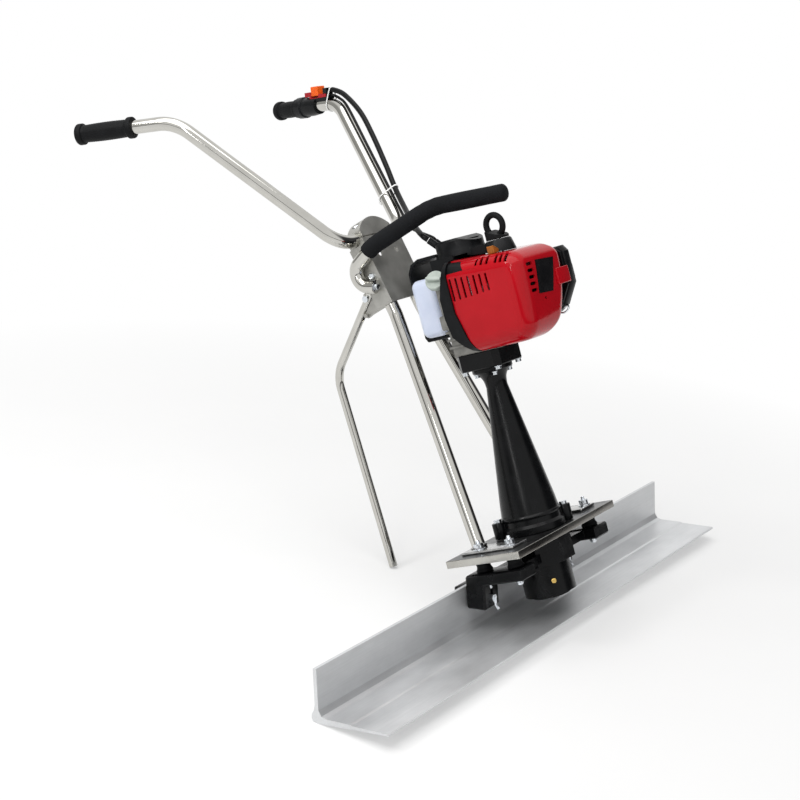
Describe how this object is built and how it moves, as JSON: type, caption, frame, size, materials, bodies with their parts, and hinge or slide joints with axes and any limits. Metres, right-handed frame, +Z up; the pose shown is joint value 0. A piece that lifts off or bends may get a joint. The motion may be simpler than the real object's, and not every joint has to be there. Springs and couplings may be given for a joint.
{
  "type": "power screed",
  "caption": "Walk-behind vibrating concrete screed: long angle blade, eccentric exciter and cone column, small vertical-shaft engine, handlebar with twist throttle, carry handle and kickstand.",
  "frame": {"origin": "centre of the bounding box at floor level, with the machine parked on the blade's heel and the kickstand's foot", "axes": "+X along the blade to the operator's right, +Y towards the operator, +Z up"},
  "size_m": [1.2, 0.965, 0.8422],
  "materials": {
    "aluminium": "brushed",
    "black_casting": "gloss black paint on casting",
    "black_plastic": "satin black",
    "rubber": "matt",
    "foam": "matt foam sleeve",
    "chrome": "bright plated tube",
    "zinc_steel": "zinc plated",
    "machined_steel": "machined",
    "cast_alloy": "as cast",
    "red_plastic": "gloss red",
    "orange_plastic": "satin orange",
    "white_plastic": "translucent white",
    "grey_plastic": "grey moulding",
    "white_nylon": "braided cord",
    "brass": "turned"
  },
  "bodies": {
    "frame": {"air_cleaner_case": "black_plastic", "air_cleaner_cover": "black_plastic", "bar_clamp_bolt_left": "zinc_steel", "bar_clamp_bolt_right": "zinc_steel", "bar_clamp_cap": "zinc_steel", "base_plate": "aluminium", "bearing_lower": "machined_steel", "bearing_upper": "machined_steel", "blade": "aluminium", "carburettor": "cast_alloy", "carry_grip": "foam", "carry_handle": "chrome", "clamp_bolt_left": "zinc_steel", "clamp_bolt_right": "zinc_steel", "clamp_jaw_left": "black_casting", "clamp_jaw_right": "black_casting", "cone_bolt_back": "zinc_steel", "cone_bolt_front": "zinc_steel", "cone_housing": "black_casting", "crankcase": "cast_alloy", "cylinder_block": "cast_alloy", "engine_adaptor": "black_casting", "engine_shroud": "red_plastic", "exciter_cover": "black_casting", "exciter_housing": "black_casting", "frame_pole_left": "chrome", "frame_pole_right": "chrome", "fuel_tank": "white_plastic", "grip_left": "rubber", "handle_bracket": "zinc_steel", "handlebar": "chrome", "isolator_left_back": "rubber", "isolator_left_front": "rubber", "isolator_right_back": "rubber", "isolator_right_front": "rubber", "kickstand_pin": "zinc_steel", "muffler": "machined_steel", "oil_plug": "brass", "pole_bolt_left": "zinc_steel", "pole_bolt_right": "zinc_steel", "recoil_housing": "black_plastic", "switch_base": "red_plastic", "switch_lead": "rubber", "tank_guard": "black_plastic", "throttle_cable": "rubber", "throttle_housing": "black_plastic"},
    "drive": {"eccentric_shaft": "machined_steel", "drive_coupling": "rubber", "drive_shaft": "machined_steel", "clutch_drum": "machined_steel"},
    "crank": {"crankshaft": "machined_steel", "flywheel_fan": "cast_alloy", "clutch_shoes": "machined_steel"},
    "starter": {"recoil_handle": "rubber", "recoil_rope": "white_nylon"},
    "oil_cap": {"oil_cap": "grey_plastic"},
    "fuel_cap": {"fuel_cap": "black_plastic"},
    "kickstand": {"kickstand_leg": "chrome"},
    "throttle": {"throttle_grip": "rubber"},
    "kill_switch": {"kill_switch": "orange_plastic"}
  },
  "joints": [
    {"name": "drive_spin", "type": "hinge", "parent": "frame", "child": "drive", "pos_m": [0, -0.36033, 0.21022], "axis": [0, 0.4065, 0.9136], "continuous": true},
    {"name": "crank_spin", "type": "hinge", "parent": "frame", "child": "crank", "pos_m": [0, -0.25261, 0.45233], "axis": [0, 0.4065, 0.9136], "continuous": true},
    {"name": "starter_pull", "type": "slide", "parent": "frame", "child": "starter", "axis": [-0.6217, 0.0726, 0.7799], "range_m": [0, 0.06], "stiffness_N_per_m": 60},
    {"name": "oil_cap_turn", "type": "hinge", "parent": "frame", "child": "oil_cap", "pos_m": [-0.064, -0.1693, 0.58546], "axis": [-0.8598, 0.0083, 0.5106], "range_deg": [0, 360]},
    {"name": "fuel_cap_turn", "type": "hinge", "parent": "frame", "child": "fuel_cap", "pos_m": [0.0573, -0.13824, 0.54702], "axis": [1, 0, 0], "range_deg": [0, 360]},
    {"name": "kickstand_swing", "type": "hinge", "parent": "frame", "child": "kickstand", "pos_m": [0, 0.01749, 0.50919], "axis": [1, 0, 0], "range_deg": [0, 100]},
    {"name": "throttle_twist", "type": "hinge", "parent": "frame", "child": "throttle", "pos_m": [0.2969, 0.47236, 0.76655], "axis": [-0.258, -0.9344, 0.2455], "range_deg": [0, 65], "stiffness_Nm_per_rad": 0.25},
    {"name": "kill_switch_press", "type": "slide", "parent": "frame", "child": "kill_switch", "axis": [-0.0154, -0.2501, -0.9681], "range_m": [0, 0.003], "stiffness_N_per_m": 400}
  ]
}
